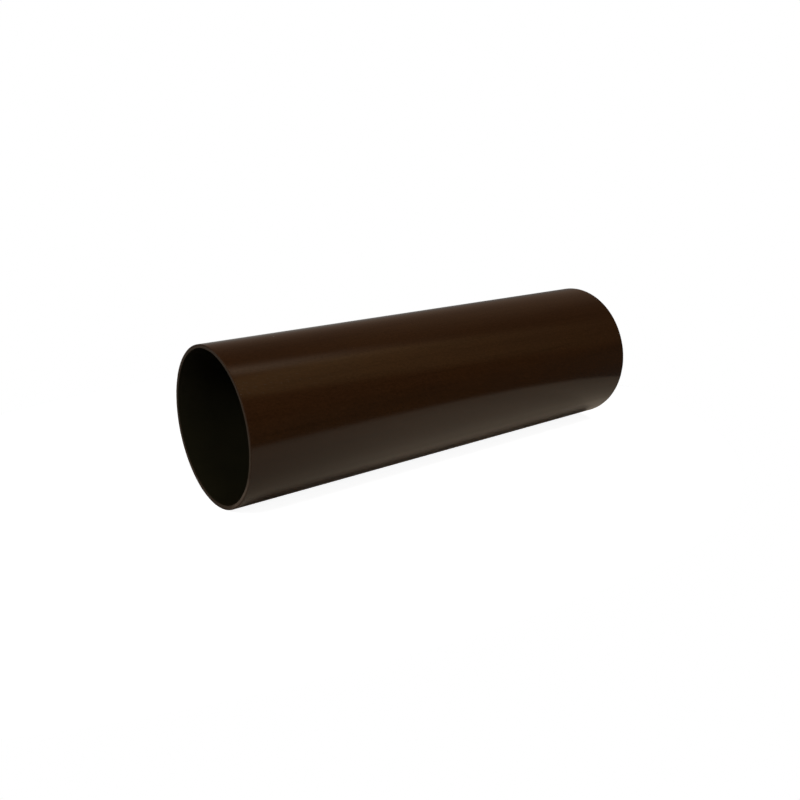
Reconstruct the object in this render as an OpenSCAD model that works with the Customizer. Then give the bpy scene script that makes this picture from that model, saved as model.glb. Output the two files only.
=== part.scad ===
// Round downpipe, lying on its side. One length of extruded PVC-U pipe, sawn square at both ends.
// Millimetres. The pipe's axis runs along X and its lowest line lies on the XY plane.

/* [Pipe] */
// Outside diameter, over which a socket or a clip fits
outside_diameter = 68; // [50:0.5:160]
// Thickness of the wall
wall_thickness = 1.7; // [1.2:0.1:4]
// Length from one sawn end to the other
pipe_length = 216; // [100:1:4000]

/* [Sawn ends] */
// Size of the bevel that deburring leaves on the outer edge of each end
outer_bevel = 0.25; // [0.1:0.05:0.5]
// Size of the bevel that deburring leaves on the inner edge of each end
inner_bevel = 0.2; // [0.1:0.05:0.5]

/* [Hidden] */
outside_radius = outside_diameter / 2;
bore_radius = outside_radius - wall_thickness;
half_length = pipe_length / 2;
facets = 180;

// Half of the wall's section, cut along the axis: radius across, place along the pipe upwards.
// Each corner is taken off by its bevel.
module wall_section() {
    polygon([
        [bore_radius, -half_length + inner_bevel],
        [bore_radius + inner_bevel, -half_length],
        [outside_radius - outer_bevel, -half_length],
        [outside_radius, -half_length + outer_bevel],
        [outside_radius, half_length - outer_bevel],
        [outside_radius - outer_bevel, half_length],
        [bore_radius + inner_bevel, half_length],
        [bore_radius, half_length - inner_bevel],
    ]);
}

// The pipe is the section turned round its axis, then laid down on its lowest line.
module pipe() {
    color([0.18, 0.11, 0.07])
    translate([0, 0, outside_radius])
    rotate([0, 90, 0])
    rotate_extrude($fn = facets)
    wall_section();
}

pipe();
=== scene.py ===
"""A short length of round dark brown plastic rainwater downpipe, lying on a pale table top."""
import math

import bpy
import numpy as np
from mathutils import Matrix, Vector


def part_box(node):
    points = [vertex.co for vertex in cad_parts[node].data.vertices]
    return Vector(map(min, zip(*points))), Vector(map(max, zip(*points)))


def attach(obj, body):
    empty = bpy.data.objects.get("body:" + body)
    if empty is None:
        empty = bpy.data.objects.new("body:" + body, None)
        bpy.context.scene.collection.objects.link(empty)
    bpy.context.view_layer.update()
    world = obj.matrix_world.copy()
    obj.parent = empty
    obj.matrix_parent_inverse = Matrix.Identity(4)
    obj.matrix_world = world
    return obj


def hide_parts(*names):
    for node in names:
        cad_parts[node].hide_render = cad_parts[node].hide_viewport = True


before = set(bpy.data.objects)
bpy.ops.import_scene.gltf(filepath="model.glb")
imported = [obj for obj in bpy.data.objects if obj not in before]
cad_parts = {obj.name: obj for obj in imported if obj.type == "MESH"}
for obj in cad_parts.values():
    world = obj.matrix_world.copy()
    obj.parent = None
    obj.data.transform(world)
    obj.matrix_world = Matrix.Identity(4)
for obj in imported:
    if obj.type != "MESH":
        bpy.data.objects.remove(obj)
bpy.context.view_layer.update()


# ---- Camera ---------------------------------------------------------------------------------
# A close view from the front left, looking down a little. The open near end is on the left, and
# the pipe runs away to the right.

pipe_low, pipe_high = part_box("pipe")
middle = (pipe_low + pipe_high) / 2
aim = middle + Vector((-0.01225, 0.0, -0.00617))   # a little left of the middle and below it
camera_distance = 0.39702
camera_azimuth, camera_elevation = math.radians(-37.404), math.radians(17.151)
sensor_width, focal_length = 36.0, 37.987           # millimetres
back = Vector((
    math.sin(camera_azimuth) * math.cos(camera_elevation),
    -math.cos(camera_azimuth) * math.cos(camera_elevation),
    math.sin(camera_elevation),
))
camera_data = bpy.data.cameras.new("camera")
camera_data.sensor_width = sensor_width
camera_data.lens = focal_length
camera = bpy.data.objects.new("camera", camera_data)
camera.location = aim + back * camera_distance
camera.rotation_mode = "QUATERNION"
camera.rotation_quaternion = (-back).to_track_quat("-Z", "Y")
bpy.context.scene.collection.objects.link(camera)
bpy.context.scene.camera = camera


# ---- Pipe -----------------------------------------------------------------------------------
# One length of extruded PVC-U tube. It leaves the die with a smooth satin skin outside and a
# duller bore, both marked with faint lines lengthwise, and is sawn square and scraped at both ends.

outside_radius = (pipe_high.z - pipe_low.z) / 2
half_length = (pipe_high.x - pipe_low.x) / 2
axis_height = middle.z
mm = 0.001
wall = 1.7 * mm
off_middle = 0.15 * mm          # how far above the middle the bore lies
outer_scrape = 0.24 * mm        # size of the outer scraped edges, and how far it wanders
outer_uneven = 0.05 * mm
inner_scrape = 0.20 * mm        # the same for the inner ones
inner_uneven = 0.06 * mm

turns = 720             # steps round the pipe
skin_rings = 30         # rings along the outer skin
bore_rings = 20         # rings along the bore
sawn_rings = 8          # rings across each sawn wall
edge_rings = 5          # rings round each scraped edge
skin_guard = 0.001      # the share of a run between its end and its first or last ring
sawn_guard = 0.03

draw = np.random.default_rng(68)
turn = np.radians(-90 + np.arange(turns) * 360 / turns)    # from the line that it lies on


def wander(turn, first, last, draw):
    """A smooth random curve round the pipe that meets itself. It is the sum of cosines of every
    whole number of waves from first to last, each starting anywhere, the longer ones stronger,
    divided by twice its own spread, so that it stays within about -1 and 1."""
    waves = np.arange(first, last + 1)
    start = draw.uniform(0, 2 * np.pi, waves.size)
    height = (np.cos(turn[:, None] * waves + start) / np.sqrt(waves)).sum(axis=1)
    return height / (2 * height.std())


def grooves(turn, places, widths, depths):
    """The depth of lengthwise grooves round the pipe. Each groove is a bell curve of its own
    width and depth about its own angle, by the shortest way round."""
    apart = (turn[:, None] - places + np.pi) % (2 * np.pi) - np.pi
    return (depths * np.exp(-(apart / widths) ** 2)).sum(axis=1)


def straight(start, end, rings, guard, facing):
    """A straight run of the wall's section from start to end, each an x and a radius for every
    angle: start + t * (end - start), t evenly from 0 to 1, except that the first and last ring
    stand only a guard away from the ends, to keep the run flat beside the edge."""
    t = np.linspace(0, 1, rings)
    t[0], t[-1] = guard, 1 - guard
    x = start[0][:, None] + t * (end[0] - start[0])[:, None]
    radius = start[1][:, None] + t * (end[1] - start[1])[:, None]
    return x, radius, np.full(rings, facing[0]), np.full(rings, facing[1])


def rounded(centre, size, facing_from, facing_to, rings):
    """A scraped edge: a quarter circle of its own size at every angle round the pipe. The facing
    turns evenly from one straight run's to the next, and each point is centre + size * facing."""
    t = np.linspace(0, 1, rings) * np.pi / 2
    along = np.cos(t) * facing_from[0] + np.sin(t) * facing_to[0]
    out = np.cos(t) * facing_from[1] + np.sin(t) * facing_to[1]
    x = centre[0][:, None] + size[:, None] * along
    radius = centre[1][:, None] + size[:, None] * out
    return x, radius, along, out


# Facings are (along x, away from the axis), and a side is -1 for the left end, 1 for the right.
OUT, IN, LEFT, RIGHT = (0, 1), (0, -1), (-1, 0), (1, 0)
outer_edge = {side: outer_scrape + outer_uneven * wander(turn, 2, 40, draw) for side in (-1, 1)}
inner_edge = {side: inner_scrape + inner_uneven * wander(turn, 2, 60, draw) for side in (-1, 1)}
skin = np.full(turns, outside_radius)
bore = outside_radius - wall + off_middle * np.sin(turn)


def outer_corner(side):
    """The middle of an end's outer scraped edge, its own size in from the end and the skin."""
    return side * (half_length - outer_edge[side]), skin - outer_edge[side]


def inner_corner(side):
    """The middle of an end's inner scraped edge, its own size in from the end and the bore."""
    return side * (half_length - inner_edge[side]), bore + inner_edge[side]


end_x = {side: np.full(turns, side * half_length) for side in (-1, 1)}
left_outer, right_outer = outer_corner(-1), outer_corner(1)
left_inner, right_inner = inner_corner(-1), inner_corner(1)
section = [
    straight((left_outer[0], skin), (right_outer[0], skin), skin_rings, skin_guard, OUT),
    rounded(right_outer, outer_edge[1], OUT, RIGHT, edge_rings),
    straight((end_x[1], right_outer[1]), (end_x[1], right_inner[1]), sawn_rings, sawn_guard, RIGHT),
    rounded(right_inner, inner_edge[1], RIGHT, IN, edge_rings),
    straight((right_inner[0], bore), (left_inner[0], bore), bore_rings, skin_guard, IN),
    rounded(left_inner, inner_edge[-1], IN, LEFT, edge_rings),
    straight((end_x[-1], left_inner[1]), (end_x[-1], left_outer[1]), sawn_rings, sawn_guard, LEFT),
    rounded(left_outer, outer_edge[-1], LEFT, OUT, edge_rings),
]
x = np.concatenate([run[0] for run in section], axis=1)
radius = np.concatenate([run[1] for run in section], axis=1)
along = np.concatenate([run[2] for run in section])
out = np.concatenate([run[3] for run in section])

# Relief on the skin, always inwards: die lines, a slight oval that leaves the top and the lying
# line alone, and the faint ripple of the haul-off.
skin_lines = 26
die_lines = grooves(turn, draw.uniform(-np.pi, np.pi, skin_lines),
                    draw.uniform(0.012, 0.05, skin_lines),
                    mm * draw.uniform(0.002, 0.007, skin_lines))
oval_depth = 0.12 * mm
oval = oval_depth / 2 * (1 + np.cos(2 * turn))
ripple_depth, ripple_length = 0.003 * mm, 47 * mm
ripple_sway = 1.3 * wander(turn, 1, 4, draw)[:, None]
haul_off = ripple_depth / 2 * (1 + np.sin(2 * np.pi * x / ripple_length + ripple_sway))
skin_relief = die_lines[:, None] + oval[:, None] + haul_off

# Relief in the bore, into the wall: deeper die lines and four weld lines from the legs of the die.
bore_lines = 34
deep_lines = grooves(turn, draw.uniform(-np.pi, np.pi, bore_lines),
                     draw.uniform(0.015, 0.06, bore_lines),
                     mm * draw.uniform(0.004, 0.016, bore_lines))
weld_turns, weld_width, weld_depth = np.radians([22, 112, 202, 292]), 0.03, 0.03 * mm
weld_lines = grooves(turn, weld_turns, np.full(4, weld_width), np.full(4, weld_depth))
bore_relief = (deep_lines + weld_lines)[:, None]

# Relief on the sawn ends: the arcs that a round blade leaves as it is fed through.
blade_radius = 127 * mm
feed_turn = {-1: math.radians(-135), 1: math.radians(-54)}  # the way that the blade came in
mark_depth = 0.012 * mm
long_mark, short_mark = 2.3 * mm, 1.1 * mm                  # from one arc to the next


def blade_feed(y, z, feed_turn):
    """How far the blade had come when it cut a point of the end. The blade is a circle whose
    centre moves along the feed, so the feed is the point's place along it, less the half chord
    sqrt(blade radius squared - distance across the feed squared)."""
    ahead = y * math.cos(feed_turn) + z * math.sin(feed_turn)
    across = z * math.cos(feed_turn) - y * math.sin(feed_turn)
    return ahead - np.sqrt(blade_radius ** 2 - across ** 2)


y, z = -radius * np.cos(turn)[:, None], radius * np.sin(turn)[:, None]
saw_relief = np.zeros_like(x)
for side in (-1, 1):
    feed = blade_feed(y, z, feed_turn[side])
    marks = 0.6 * np.sin(2 * np.pi * feed / long_mark) + 0.4 * np.sin(2 * np.pi * feed / short_mark + 1)
    saw_relief = np.where(x * side > 0, mark_depth * (1 + marks), saw_relief)

x = x - along * np.abs(along) * saw_relief
radius = radius - np.where(out > 0, out ** 2 * skin_relief, -out ** 2 * bore_relief)
points = np.stack([
    x + middle.x,
    -radius * np.cos(turn)[:, None] + middle.y,
    radius * np.sin(turn)[:, None] + axis_height,
], axis=-1)


def closed_mesh(name, points, kinds):
    """A mesh from a grid of points that closes on itself both ways. Face i, j joins point i, j,
    its next one round the section, the one after both and the next one round the pipe, which is
    anticlockwise from outside. Its material is kinds j."""
    rows, columns = points.shape[:2]
    number = np.arange(rows * columns).reshape(rows, columns)
    after, beside = np.roll(number, -1, axis=0), np.roll(number, -1, axis=1)
    corners = np.stack([number, beside, np.roll(after, -1, axis=1), after], axis=-1).reshape(-1, 4)
    mesh = bpy.data.meshes.new(name)
    mesh.vertices.add(rows * columns)
    mesh.vertices.foreach_set("co", points.astype(np.float32).ravel())
    mesh.loops.add(corners.size)
    mesh.loops.foreach_set("vertex_index", corners.astype(np.int32).ravel())
    mesh.polygons.add(len(corners))
    mesh.polygons.foreach_set("loop_start", np.arange(0, corners.size, 4, dtype=np.int32))
    mesh.polygons.foreach_set("material_index", np.tile(kinds, rows).astype(np.int32))
    mesh.polygons.foreach_set("use_smooth", np.ones(len(corners), dtype=bool))
    mesh.update(calc_edges=True)
    return mesh


SKIN, BORE, SAWN = 0, 1, 2
kinds = np.full(along.size, SAWN)
bore_start = skin_rings + 2 * edge_rings + sawn_rings
kinds[:skin_rings] = SKIN
kinds[-1] = SKIN
kinds[bore_start - 1:bore_start + bore_rings] = BORE
pipe_mesh = closed_mesh("downpipe", points, kinds)
pipe = bpy.data.objects.new("downpipe", pipe_mesh)
bpy.context.scene.collection.objects.link(pipe)


class Wire:
    """An output in a node tree. Arithmetic on it adds Math nodes, and node() adds any other."""

    def __init__(self, tree, socket=None):
        self.tree = tree
        self.socket = socket

    def node(self, kind, settings, sockets, output=0):
        """Adds a node: its settings come first, then a value or a Wire for each socket."""
        made = self.tree.nodes.new(kind)
        for name, value in settings.items():
            setattr(made, name, value)
        for name, value in sockets.items():
            if isinstance(value, Wire):
                self.tree.links.new(value.socket, made.inputs[name])
            else:
                made.inputs[name].default_value = value
        return Wire(self.tree, made.outputs[output] if len(made.outputs) else None)

    def beside(self, name):
        """Another output of the same node."""
        return Wire(self.tree, self.socket.node.outputs[name])

    def math(self, operation, *values):
        """A Math node of an operation on values, each a number or a Wire."""
        return self.node("ShaderNodeMath", {"operation": operation}, dict(enumerate(values)))

    def __add__(self, other):
        return self.math("ADD", self, other)

    def __radd__(self, other):
        return self.math("ADD", other, self)

    def __sub__(self, other):
        return self.math("SUBTRACT", self, other)

    def __rsub__(self, other):
        return self.math("SUBTRACT", other, self)

    def __mul__(self, other):
        return self.math("MULTIPLY", self, other)

    def __rmul__(self, other):
        return self.math("MULTIPLY", other, self)

    def __truediv__(self, other):
        return self.math("DIVIDE", self, other)

    def __pow__(self, other):
        return self.math("POWER", self, other)

    def __rpow__(self, other):
        return self.math("POWER", other, self)

    def __abs__(self):
        return self.math("ABSOLUTE", self)

    def at_least(self, other):
        """The value, or the other where that is higher."""
        return self.math("MAXIMUM", self, other)

    def wave(self, length):
        """A sine wave of this length along the value, from -1 to 1."""
        return self.math("SINE", self * (2 * math.pi / length))

    def ramp(self, low, high):
        """0 below low, 1 above high, and a smooth step between; high may be below low."""
        return self.node("ShaderNodeMapRange", {"interpolation_type": "SMOOTHSTEP"},
                         {"Value": self, "From Min": low, "From Max": high})

    def blend(self, first, second):
        """The first colour where this is 0, the second where it is 1, and their mix between."""
        return self.node("ShaderNodeMix", {"data_type": "RGBA"},
                         {0: self, 6: first, 7: second}, output=2)

    def squeezed(self, x, y, z):
        """The coordinates, each multiplied by its own number."""
        return self.node("ShaderNodeVectorMath", {"operation": "MULTIPLY"}, {0: self, 1: (x, y, z)})

    def parts(self):
        """The x, the y and the z of the coordinates."""
        x = self.node("ShaderNodeSeparateXYZ", {}, {"Vector": self})
        return x, x.beside("Y"), x.beside("Z")

    def distance(self, point):
        """How far the coordinates lie from a point."""
        return self.node("ShaderNodeVectorMath", {"operation": "DISTANCE"},
                         {0: self, 1: point}, output=1)

    def noise(self, scale, detail=2.0, rough=0.5):
        """Soft noise about 0.5 at these coordinates."""
        return self.node("ShaderNodeTexNoise", {},
                         {"Vector": self, "Scale": scale, "Detail": detail, "Roughness": rough})


def plastic(name):
    """A new material with a plastic surface: the material, its shader and the place on the piece
    in millimetres."""
    material = bpy.data.materials.new(name)
    material.use_nodes = True
    tree = material.node_tree
    shader = tree.nodes["Principled BSDF"]
    shader.inputs["IOR"].default_value = 1.53
    place = Wire(tree).node("ShaderNodeTexCoord", {}, {}, output="Object")
    place = place.squeezed(1 / mm, 1 / mm, 1 / mm)
    return material, shader, place


def dress(shader, colour, roughness, height):
    """Links the colour, the roughness and a relief in micrometres to the shader."""
    micrometre = 0.001 * mm
    bump = height.node("ShaderNodeBump", {},
                       {"Height": height, "Distance": micrometre, "Strength": 1.0})
    for wire, name in ((colour, "Base Color"), (roughness, "Roughness"), (bump, "Normal")):
        wire.tree.links.new(wire.socket, shader.inputs[name])


brown = (0.0198, 0.0080, 0.0034, 1.0)
warm_brown = (0.0219, 0.0085, 0.0032, 1.0)
deep_brown = (0.0112, 0.0044, 0.0018, 1.0)
scuffed_brown = (0.0380, 0.0270, 0.0200, 1.0)
# The bore's colours are darker than the skin's: painted shade inside the tube.
shaded_bore_brown = (0.0072, 0.0068, 0.0035, 1.0)
pale_shaded_bore_brown = (0.0088, 0.0080, 0.0040, 1.0)
cut_brown = (0.0210, 0.0135, 0.0090, 1.0)
pale_cut_brown = (0.0380, 0.0270, 0.0190, 1.0)
# A painted highlight on the torn patch where the blade came through last.
torn_highlight_brown = (0.0780, 0.0580, 0.0450, 1.0)

# Extruded skin: satin, with flow lines and fine scratches lengthwise and a little dust.
extruded, shader, place = plastic("extruded_skin")
flow = place.squeezed(0.02, 1, 1).noise(0.7, detail=3)
fine_flow = place.squeezed(0.008, 1, 1).noise(3.5, detail=2)
cloud = place.noise(0.045, detail=2)
pits = place.noise(0.55, detail=1)
mottle = place.squeezed(0.6, 1, 1).noise(1.3, detail=4, rough=0.65)
scratch_line = place.squeezed(0.05, 0.5, 0.5).noise(0.9, detail=0)
scratched_place = place.squeezed(0.3, 1, 1).noise(0.12, detail=2).ramp(0.56, 0.66)
scratch = abs(scratch_line - 0.5).ramp(0.0022, 0.0004) * scratched_place
specks = place.node("ShaderNodeTexVoronoi", {}, {"Vector": place, "Scale": 0.55})
dust = specks.ramp(0.085, 0.05) * place.noise(0.03, detail=3).ramp(0.45, 0.65)
colour = cloud.ramp(0.3, 0.7).blend(brown, warm_brown)
colour = (flow.ramp(0.45, 0.75) * 0.35 + mottle.ramp(0.38, 0.66) * 0.6).blend(colour, deep_brown)
colour = (scratch * 0.25 + dust * 0.2).blend(colour, scuffed_brown)
roughness = 0.17 + (flow - 0.5) * 0.06 + (mottle - 0.5) * 0.12 + scratch * 0.15 + dust * 0.3
relief = fine_flow * 1.2 + flow * 3.0 + pits * 4.0 + mottle * 2.0 - scratch * 2.0
dress(shader, colour, roughness, relief)

# Bore: the same plastic, duller and more lined than the skin, and darker in colour as painted shade
# inside the tube.
bored, shader, place = plastic("bore_skin")
flow = place.squeezed(0.012, 1, 1).noise(0.9, detail=3)
colour = place.noise(0.06, detail=3).ramp(0.3, 0.7).blend(shaded_bore_brown, pale_shaded_bore_brown)
colour = (flow.ramp(0.6, 0.8) * 0.08).blend(colour, scuffed_brown)
dress(shader, colour, 0.42 + (flow - 0.5) * 0.12, flow * 14.0 + place.noise(0.8, detail=2) * 5.0)

# Sawn ends: paler and matt, with the blade's arcs across them as blade_feed has them, torn where the
# blade came through last and paler there as a painted highlight, and dark in the outermost layer.
sawn, shader, place = plastic("sawn_end")
blade = blade_radius / mm
cut_x, cut_y, cut_z = place.parts()
cut_z = cut_z - axis_height / mm
feeds = {}
for side in (-1, 1):
    c, s = math.cos(feed_turn[side]), math.sin(feed_turn[side])
    ahead, across = cut_y * c + cut_z * s, cut_z * c - cut_y * s
    feeds[side] = ahead - (blade ** 2 - across * across) ** 0.5
right_end = cut_x.ramp(-1.0, 1.0)
feed = feeds[-1] * (1 - right_end) + feeds[1] * right_end + place.noise(0.25, detail=2) * 1.4
arcs, fine_arcs = feed.wave(0.85), feed.wave(0.31)
grain = place.noise(1.6, detail=4, rough=0.6)
# The torn patch where the blade came through last, made pale as a painted highlight.
last_cut_highlight = (feed + blade).ramp(31.5, 33.2)
from_axis = (cut_y * cut_y + cut_z * cut_z) ** 0.5
outer_layer = from_axis.ramp(33.1, 33.6)
colour = (arcs * 0.25 + fine_arcs * 0.15 + grain * 0.8).blend(cut_brown, pale_cut_brown)
colour = last_cut_highlight.blend(colour, torn_highlight_brown)
colour = (outer_layer * 0.8).blend(colour, brown)
dress(shader, colour, 0.5 + grain * 0.2, arcs * 6.0 + fine_arcs * 3.0 + grain * 8.0)

for material in (extruded, bored, sawn):
    pipe_mesh.materials.append(material)
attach(pipe, "root")
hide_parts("pipe")


# ---- Table ----------------------------------------------------------------------------------
# The pipe lies on a small table top, matt and pale, round at the right and longer at the left. The
# gloss of the pipe shows its edge and the dim room past it. The camera sees the top as white, with
# the pipe's shadow on it.

table_radius, table_reach = 0.172, 0.32    # the reach is its longer left half
table_centre = np.array([0.0, 0.030])
rim_points = 240
spin = np.linspace(0, 2 * np.pi, rim_points, endpoint=False)
rim = np.stack([np.cos(spin), np.sin(spin)], axis=-1)
rim = table_centre + rim * np.where(rim < 0, (table_reach, table_radius), table_radius)
table_mesh = bpy.data.meshes.new("table_top")
table_mesh.from_pydata(np.c_[rim, np.zeros(len(rim))].tolist(), [], [list(range(len(rim)))])
table = bpy.data.objects.new("table_top", table_mesh)
bpy.context.scene.collection.objects.link(table)

table_finish = bpy.data.materials.new("table_matt_pale")
table_finish.use_nodes = True
table_finish.node_tree.nodes.clear()
pale_paint = (0.63, 0.525, 0.394, 1.0)
# Painted shade, for the table's edge and for a line under the front of the pipe.
shade_paint = (0.33, 0.275, 0.206, 1.0)
# A painted pool of light on the table by the right end of the pipe.
end_light_paint = (0.72, 0.61, 0.47, 1.0)
seen_paint = (0.45, 0.45, 0.45, 1.0)
glow_behind, glow_in_front = 0.78, 0.92
start = Wire(table_finish.node_tree)
seen = start.node("ShaderNodeLightPath", {}, {}, output="Is Camera Ray")
place = start.node("ShaderNodeTexCoord", {}, {}, output="Object")

# The paint is pale at the middle and darker towards the edge, as painted light falling off. It is
# paler still by the right end of the pipe, a painted pool of light, and a little duller in a line along
# its front, painted shade under the pipe.
from_middle = place.distance((0.03, -0.02, 0.0))
paint = from_middle.ramp(0.168, 0.03).blend(shade_paint, pale_paint)
# A painted pool of light by the right end of the pipe.
from_right_end = place.squeezed(0.5, 1, 1).distance((0.054, -0.014, 0.0))
paint = from_right_end.ramp(0.022, 0.006).blend(paint, end_light_paint)
how_far_back = place.parts()[1]
# Painted shade in a line along the front of the pipe, under it.
front_shade_line = how_far_back.ramp(-0.0315, -0.0285) * how_far_back.ramp(-0.0245, -0.0265)
paint = (front_shade_line * 0.25).blend(paint, shade_paint)
matt = start.node("ShaderNodeBsdfDiffuse", {}, {"Color": seen.blend(paint, seen_paint)})
# The glow is stronger in front of the pipe than behind it: painted light that makes its shadow fainter
# there.
in_front = how_far_back.ramp(0.02, -0.02)
glow = seen * (glow_behind + in_front * (glow_in_front - glow_behind))
glow = start.node("ShaderNodeEmission", {}, {"Strength": glow})
both = start.node("ShaderNodeAddShader", {}, {0: matt, 1: glow})
start.node("ShaderNodeOutputMaterial", {}, {"Surface": both})
table_mesh.materials.append(table_finish)


# ---- Light ----------------------------------------------------------------------------------
# Soft boxes in front, at the left, low in front and behind light the pipe evenly. They are kept
# out of its gloss, which shows a pale backdrop, a dim room and lit strips of the ceiling.

box_side = 0.3
foot, belly = (0, 0, 0), (0, 0, 0.03)      # where the pipe lies, and just below its axis
for name, place, target, watts in (
        ("key_box", (0.15, -0.454, 0.89), foot, 2.81),
        ("left_box", (-0.8, -0.3, 0.6), foot, 6.44),
        ("low_box", (-0.2, -1.0, 0.3), belly, 2.71),
        ("back_box", (0.5, 0.85, 0.3), foot, 4.0)):
    lamp = bpy.data.lights.new(name, "AREA")
    lamp.size = box_side
    lamp.energy = watts
    soft_box = bpy.data.objects.new(name, lamp)
    soft_box.location = place
    soft_box.rotation_mode = "QUATERNION"
    soft_box.rotation_quaternion = (Vector(target) - Vector(place)).to_track_quat("-Z", "Y")
    soft_box.visible_glossy = False
    soft_box.visible_camera = False
    bpy.context.scene.collection.objects.link(soft_box)

world = bpy.data.worlds.new("studio")
world.use_nodes = True
world.node_tree.nodes.clear()
start = Wire(world.node_tree)
seen = start.node("ShaderNodeLightPath", {}, {}, output="Is Camera Ray")
mirrored, through = seen.beside("Is Glossy Ray"), seen.beside("Is Transmission Ray")
way_x, way_y, way_z = start.node("ShaderNodeTexCoord", {}, {}).parts()

# The backdrop stands behind the pipe. It fades upwards, fast at its foot and slower above, and is
# a little brighter to the left. A wall beside it and the room in front of it are dimmer.
rise = way_z.at_least(0.0)
behind_x, behind_y = 0.607, 0.795
behind = (way_x * behind_x + way_y * behind_y).ramp(-0.2, 0.7)
to_left = (way_y * behind_x - way_x * behind_y).ramp(-0.18, 0.2)
its_foot = (to_left * 0.6 + 1.0) * 0.003 ** rise
above_that = (to_left * 0.18 + 0.44) * 0.09 ** rise
backdrop = behind * (its_foot + above_that)
beside = (way_x * 0.85 + way_y * 0.5).ramp(0.4, 1.0) * way_z.ramp(0.0, 0.4) * way_y.ramp(-0.2, 0.4)
in_room = (way_y * -1).ramp(0.3, 0.9) * way_z.ramp(0.35, 0.0)

# A place on the ceiling, one unit up, is the way to it divided by its height. Strips of light lie
# there side by side: one number is how far across them the place is, the other how far along.
across_x, across_y = 0.585, 0.811
first_edge, along_start = 0.35, 0.193
over = way_z.at_least(0.05)
over_x, over_y = way_x / over, way_y / over
across = first_edge - over_x * across_x - over_y * across_y
along = (over_x * across_y - over_y * across_x - along_start).at_least(0.0)


def strip(edge, full, still_full, end, fall, even_to=0.0):
    """A lit strip of the ceiling. Going across, it rises from edge to full, and falls from
    still_full to end. Going along, it is even as far as even_to, and from there it fades as e to
    the power of minus fall times the distance."""
    width = across.ramp(edge, full) * across.ramp(end, still_full)
    past_even = (along - even_to).at_least(0.0)
    return width * math.exp(-fall) ** past_even * way_z.ramp(0.06, 0.16)


def sky(colour, strength):
    """A light of a colour from all round, its strength a number, or a Wire that varies by way."""
    return start.node("ShaderNodeBackground", {}, {"Color": (*colour, 1.0), "Strength": strength})


# The broad strip is dimmer where it starts, and the faint one fades at both its ends.
narrow = strip(-0.12, 0.06, 0.08, 0.17, 9.0, 0.25)
broad = strip(0.0, 0.04, 0.05, 0.6, 2.0) * (along.ramp(0.22, 0.45) * 0.85 + 0.15)
broad_and_dim = strip(0.1, 0.6, 0.62, 0.7, 0.5)
faint = strip(-1.4, -0.7, -0.35, 0.0, 0.0) * along.ramp(0.0, 0.15) * along.ramp(0.62, 0.42)
gloss_side = sky((0.155, 0.147, 0.136), backdrop)
for colour, light in (
        ((0.083, 0.029, 0.004), way_z.ramp(0.0, 0.3)),    # the ceiling
        ((0.073, 0.059, 0.045), beside),
        ((0.075, 0.039, 0.013), in_room),
        ((0.53, 0.429, 0.325), narrow),
        ((0.911, 0.574, 0.246), broad),
        ((0.408, 0.255, 0.106), broad_and_dim),
        ((0.037, 0.02, 0.008), faint)):
    gloss_side = start.node("ShaderNodeAddShader", {}, {0: gloss_side, 1: sky(colour, light)})
room = start.node("ShaderNodeMixShader", {}, {0: mirrored, 2: gloss_side})
white = seen.at_least(through)
whole = start.node("ShaderNodeMixShader", {}, {0: white, 1: room, 2: sky((1.0, 1.0, 1.0), 1.0)})
start.node("ShaderNodeOutputWorld", {}, {"Surface": whole})
bpy.context.scene.world = world
bpy.context.scene.view_settings.view_transform = "Standard"
